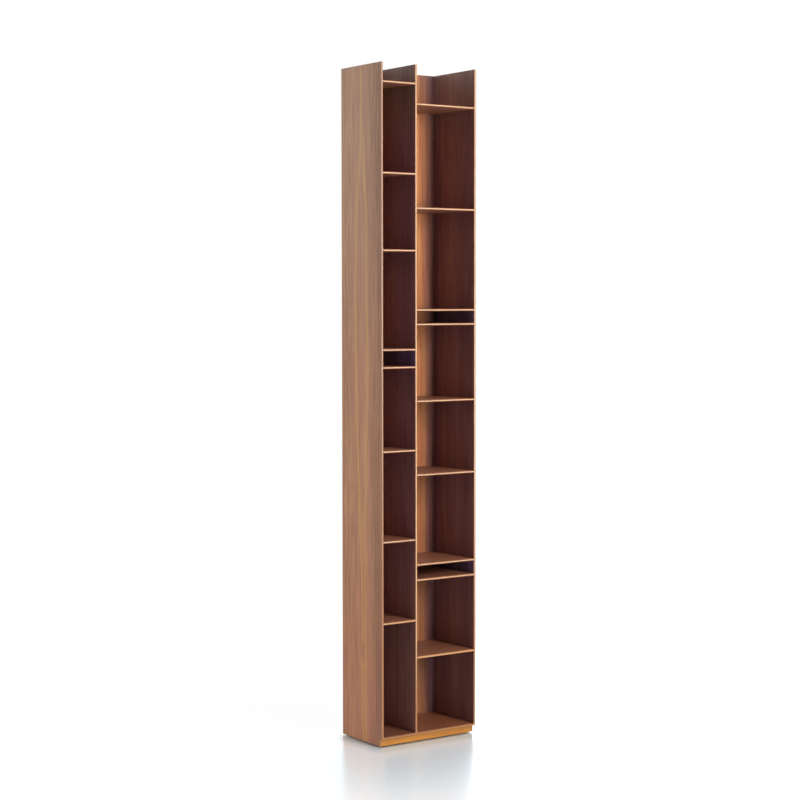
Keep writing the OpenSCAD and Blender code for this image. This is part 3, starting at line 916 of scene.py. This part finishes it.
# The shank's radius falls by the thread's depth, and narrows to a point over the length of its tip
def screwShank(look, place, length, axis, sign):
    angles = turnAngles(look["shankColumns"])
    neck = look["headRadius"] - look["shankRadius"]
    threadEnd = length - look["tip"]
    count = round((threadEnd - neck) / look["pitch"] * look["rowsPerPitch"])
    thread = np.linspace(neck, threadEnd, count)
    places = np.concatenate([thread, [length - look["point"], length]])[:, None]
    taper = np.clip((length - places) / look["tip"], 0, 1) ** look["tipCurve"]
    cut = threadDepth(places, angles, look["pitch"]) * look["threadDepth"]
    radius = np.concatenate([0 * angles, (look["shankRadius"] - cut) * taper])
    along = np.concatenate([[[neck]], places]) + 0 * angles
    return turnedGrid(radius, along, place, look["shankColumns"], axis, sign)


def makeScrews(name, node, finish, places, length, axis, sign):
    grids = []
    for place in places:
        grids.append(screwHead(screw, place, axis, sign))
        grids.append(screwShank(screw, place, length, axis, sign))
    makePiece(name, grids, finish, [node])


def padMiddle(corner):
    low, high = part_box("foot_pad_" + corner)
    return (low + high) / 2


screwPlaces = {
    "sink": 0.0002,  # the heads lie this far below the faces
    "backInset": 0.04,  # from the ends of a wide shelf
    "backLength": 0.025,
    "plateHalfPitch": 0.009,
    "plateLength": 0.007,
    "blockOut": 0.0164,  # from the middle of a corner block
    "blockLength": 0.022,
}


# One screw goes into each narrow shelf and two into each wide one, from behind. Two hold the wall
# plate, and two go up through each corner block.
def makeAllScrews(look, finish):
    leftMiddle = (leftHigh.x + dividerLow.x) / 2
    ends = (dividerHigh.x + look["backInset"], rightLow.x - look["backInset"])
    back = []
    for name in shelfNames:
        low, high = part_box(name)
        across = [leftMiddle] if name.startswith("left") else ends
        back += [(x, caseBack - look["sink"], (low.z + high.z) / 2) for x in across]
    makeScrews("backPanelScrews", "back_panel_screws", finish, back, look["backLength"], "Y", -1)
    low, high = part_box("wall_plate")
    x, y, z = (low.x + high.x) / 2, low.y + look["sink"], (low.z + high.z) / 2
    plate = [(x + side, y, z) for side in (-look["plateHalfPitch"], look["plateHalfPitch"])]
    makeScrews("wallPlateScrews", "wall_plate_screws", finish, plate, look["plateLength"], "Y", 1)
    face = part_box("corner_blocks")[0].z + look["sink"]
    sides = (-look["blockOut"], look["blockOut"])
    blocks = []
    for corner in footCorners:
        middle = padMiddle(corner)
        inward = math.copysign(look["blockOut"], -middle.x)
        blocks += [(middle.x + inward, middle.y + side, face) for side in sides]
    makeScrews("blockScrews", "block_screws", finish, blocks, look["blockLength"], "Z", 1)


# Levelling feet. The pad's profile, in millimetres, is turned, and its rim is fluted: the radius
# falls by the flute's depth times the square of half of 1 - cos(flutes * angle).
footPad = {
    "profile": (
        (0, 0.3), (5.5, 0.3), (6.2, 0), (9.1, 0), (9.7, 0.2), (10, 0.6), (10, 1.1), (10, 1.7),
        (9.9, 2.2), (9.2, 2.85), (8.7, 3), (4.6, 3), (4.3, 2.85), (3.5, 2.85), (3.2, 3),
        (3.05, 2.85), (3.05, 1.1), (0, 1.1),
    ),
    "fluteRows": (5, 6, 7, 8), "flutes": 24, "fluteDepth": 0.00035, "columnsPerFlute": 6,
}


def makePad(corner, look, finish):
    node = "foot_pad_" + corner
    middle = padMiddle(corner)
    columns = look["flutes"] * look["columnsPerFlute"]
    profile = np.array(look["profile"]) / 1000
    radius = profile[:, :1] + 0 * turnAngles(columns)
    flute = (0.5 - 0.5 * np.cos(look["flutes"] * turnAngles(columns))) ** 2
    radius[list(look["fluteRows"])] -= look["fluteDepth"] * flute
    place = (middle.x, middle.y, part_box(node)[0].z)
    grid = turnedGrid(radius, profile[:, 1:], place, columns)
    makePiece("footPad_" + corner, [grid], finish, [node], "pad_" + corner)


# The stem: a tip in the pad, a hexagon collar whose corners are cut by a cone, and a thread.
# The hexagon's radius is half its flats / cos(angle within a side, from the side's middle).
footStem = {
    "radius": 0.003, "chamfer": 0.0006, "columns": 48, "sharp": 30,
    "threadDepth": 0.00052, "pitch": 0.001, "rowsPerPitch": 10, "runOut": 0.0004,
    "flats": 0.01, "collarLow": 0.0033, "collarHigh": 0.0073,
    "cornerCut": 0.0006, "cutRows": 4, "coneFrom": 0.485, "coneSlope": 1.73,
}


def makeStem(corner, look, finish):
    node = "foot_stem_" + corner
    middle = padMiddle(corner)
    low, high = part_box(node)
    angles = turnAngles(look["columns"])
    plain = 0 * angles
    radius, chamfer = look["radius"], look["chamfer"]
    collarLow, collarHigh = look["collarLow"], look["collarHigh"]
    hexagon = look["flats"] / 2 / np.cos(angles % (np.pi / 3) - np.pi / 6)
    cut = np.linspace(0, look["cornerCut"], look["cutRows"])[:, None]
    collar = np.minimum(hexagon, look["flats"] * look["coneFrom"] + cut * look["coneSlope"])
    threadFrom, threadTo = collarHigh + look["runOut"], high.z - chamfer
    count = round((threadTo - threadFrom) / look["pitch"] * look["rowsPerPitch"])
    places = np.linspace(threadFrom, threadTo, count)[:, None]
    start = np.clip((places - threadFrom) / look["pitch"], 0, 1)
    thread = radius - threadDepth(places, angles, look["pitch"]) * look["threadDepth"] * start
    foot = [plain, plain + radius - chamfer, plain + radius, plain + radius]
    footAlong = [[low.z], [low.z], [low.z + chamfer], [collarLow]]
    top = [plain + radius - chamfer, plain]
    allRadius = np.concatenate([*foot, collar, collar[::-1], plain + radius, thread, *top])
    along = np.concatenate([
        footAlong, collarLow + cut, (collarHigh - cut)[::-1], [[collarHigh]],
        places, [[high.z], [high.z]],
    ])
    grid = turnedGrid(allRadius, along, (middle.x, middle.y, 0.0), look["columns"])
    body = "stem_" + corner
    makePiece("footStem_" + corner, [grid], finish, [node], body, look["sharp"])


zinc = makeMetal("zincPlate")
blackPlastic = makePlastic("blackPlastic", plasticLook)
makeAllScrews(screwPlaces, zinc)
for corner in footCorners:
    makePad(corner, footPad, blackPlastic)
    makeStem(corner, footStem, zinc)
print("screws and feet made")

# The wall plate's edges are rounded after its loose triangles are joined, angles in degrees
plateEdges = {"join": 0.00001, "flatWithin": 1, "width": 0.0004, "segments": 2, "sharpFrom": 40}


def easeEdges(name, look):
    modifiers = nodes[name].modifiers
    weld = modifiers.new("weld", "WELD")
    weld.merge_threshold = look["join"]
    flat = modifiers.new("flatFaces", "DECIMATE")
    flat.decimate_type = "DISSOLVE"
    flat.angle_limit = math.radians(look["flatWithin"])
    bevel = modifiers.new("easedEdges", "BEVEL")
    bevel.width = look["width"]
    bevel.segments = look["segments"]
    bevel.limit_method = "ANGLE"
    bevel.angle_limit = math.radians(look["sharpFrom"])


easeEdges("wall_plate", plateEdges)

# Floor. It gives back a share of the light, and a lift that only the camera sees makes its bare part
# white. Distances are in metres, and "past" is the distance from the case's outline.
floorLook = {
    "size": 40.0, "rows": 9,
    "tone": (0.32, 0.32, 0.32, 1),
    "nearLift": (0.197, 0.22, 0.232, 1),
    "farLift": (0.3, 0.215, 0.175, 1),
    "nearFades": (0.4, 1.0), "nearFront": (-0.12, 0.1),  # past the case, and on Y
    # a weaker lift along the foot of the case: painted contact shadow
    "contactShadowLift": (0.0, 0.075, 0.095, 1),
    "contactReach": (0.01, 0.085),
    "contactRear": (0.05, 0.12), "contactRight": (0.17, 0.21),  # on Y and X, where it ends
    "bareX": (-0.004, 0.03), "bareY": (-0.012, 0.0),  # past the case's sides, and past its front
    "whiteFrom": 0.9, "whiteAt": 2.2,  # from the middle: the lift grows to plain white
    "sheenTone": (0.8, 0.94, 1.0, 1),
    "sheenShare": 0.62,
    "sheenRoughness": 0.25,
    "fades": (0.05, 0.9), "fadeShare": 0.5,  # past the case, the sheen gives way to an even tone
}


# A flat square grid at height 0, with its middle under the case
def makeFloor(look):
    half = look["size"] / 2
    across = np.linspace(-half, half, look["rows"])
    east, north = np.meshgrid(across, across)
    points = np.stack([east, north, 0 * east], axis=2)
    mesh = bpy.data.meshes.new("floor")
    faces = gridFaces(look["rows"], look["rows"], False)
    mesh.from_pydata(points.reshape(-1, 3).tolist(), [], faces.tolist())
    mesh.materials.append(makeFloorFinish(look))
    floor = addObject("floor", mesh)


# Diffuse floor + lift + sheen, which turn to plain white far out. The lift is left out under the
# case, so that the gap below the plinth stays dark. Along the front and left foot of the case it is
# weaker, a painted contact shadow, and without red, because the sheen mirrors the wood there.
def makeFloorFinish(look):
    paint = newGraph("paleFloor")
    x, y = paint.split(paint.place(), "XY")
    sideways, depthways = paint.size(x), paint.size(y)
    pastX = paint.maths("MAXIMUM", sideways - caseHigh.x, 0.0)
    pastY = paint.maths("MAXIMUM", depthways - caseHigh.y, 0.0)
    past = paint.distance(pastX, pastY)
    bareX = paint.step(sideways, *(caseHigh.x + edge for edge in look["bareX"]))
    bareY = paint.step(depthways, *(caseHigh.y + edge for edge in look["bareY"]))
    bare = paint.maths("MAXIMUM", bareX, bareY)
    seen = paint.ray("Camera")
    near = (1 - paint.step(past, *look["nearFades"])) * (1 - paint.step(y, *look["nearFront"]))
    lift = paint.mix(near, look["farLift"], look["nearLift"])
    rear = paint.step(y, *look["contactRear"])
    right = paint.step(x, *look["contactRight"])
    away = paint.maths("MAXIMUM", rear, right)
    away = paint.maths("MAXIMUM", paint.step(past, *look["contactReach"]), away)
    lift = paint.mix(away, look["contactShadowLift"], lift)
    dark = paint.node("ShaderNodeBsdfTransparent", {}, {"Color": (0, 0, 0, 1)})
    flat = paint.node("ShaderNodeBsdfDiffuse", {}, {"Color": look["tone"]})
    matt = paint.addShaders(flat, paint.mixShaders(bare * seen, dark, paint.glow(lift)))
    mirror = {"Color": look["sheenTone"], "Roughness": look["sheenRoughness"]}
    fade = paint.step(past, *look["fades"]) * look["fadeShare"] * seen
    sheen = paint.node("ShaderNodeBsdfGlossy", {}, mirror)
    sheen = paint.mixShaders(fade, sheen, paint.glow(look["sheenTone"]))
    sheen = paint.mixShaders(look["sheenShare"], dark, sheen)
    far = paint.step(paint.distance(x, y), look["whiteFrom"], look["whiteAt"])
    white = paint.glow((1, 1, 1, 1))
    return paint.output(paint.mixShaders(far * seen, paint.addShaders(matt, sheen), white))


# Even light from all round, which looks white to the camera and in gloss
surround = {"strength": 0.25, "tone": (0.94, 0.98, 1.1, 1)}


def makeSurround(look):
    world = bpy.data.worlds.new("surround")
    bpy.context.scene.world = world
    sky = Graph(world)
    shown = sky.maths("MAXIMUM", sky.ray("Camera"), sky.ray("Glossy"))
    shown = sky.maths("MAXIMUM", shown, sky.ray("Transmission"))
    even = sky.node("ShaderNodeBackground", {}, {"Color": look["tone"], "Strength": look["strength"]})
    white = sky.node("ShaderNodeBackground", {}, {"Color": (1, 1, 1, 1), "Strength": 1.0})
    sky.output(sky.mixShaders(shown, even, white), "World")


# Soft boxes: where each stands, what it points at, its width and height, and its power
softBoxes = {
    "key": {"at": (0.51, -3.05, 1.98), "to": (0.1, 0.0, 1.7), "size": (0.5, 1.8), "power": 92.0},
    "sideFill": {"at": (-3.1, 0.35, 1.5), "to": (0.0, 0.0, 1.2), "size": (1.6, 2.4), "power": 42.0},
    "rearFill": {"at": (2.4, 2.2, 1.6), "to": (0.0, 0.0, 1.2), "size": (1.6, 2.4), "power": 30.0},
    "top": {"at": (0.2, -1.0, 4.8), "to": (0.0, 0.0, 0.0), "size": (2.5, 2.5), "power": 60.0},
}


def makeSoftBox(name, look):
    data = bpy.data.lights.new(name, "AREA")
    data.shape = "RECTANGLE"
    data.size, data.size_y = look["size"]
    data.energy = look["power"]
    box = addObject(name, data)
    box.location = look["at"]
    aim = Vector(look["to"]) - Vector(look["at"])
    box.rotation_euler = aim.to_track_quat("-Z", "Y").to_euler()
    box.visible_camera = False


makeFloor(floorLook)
makeSurround(surround)
for name, look in softBoxes.items():
    makeSoftBox(name, look)
bpy.context.scene.view_settings.view_transform = "Standard"
print("studio set")
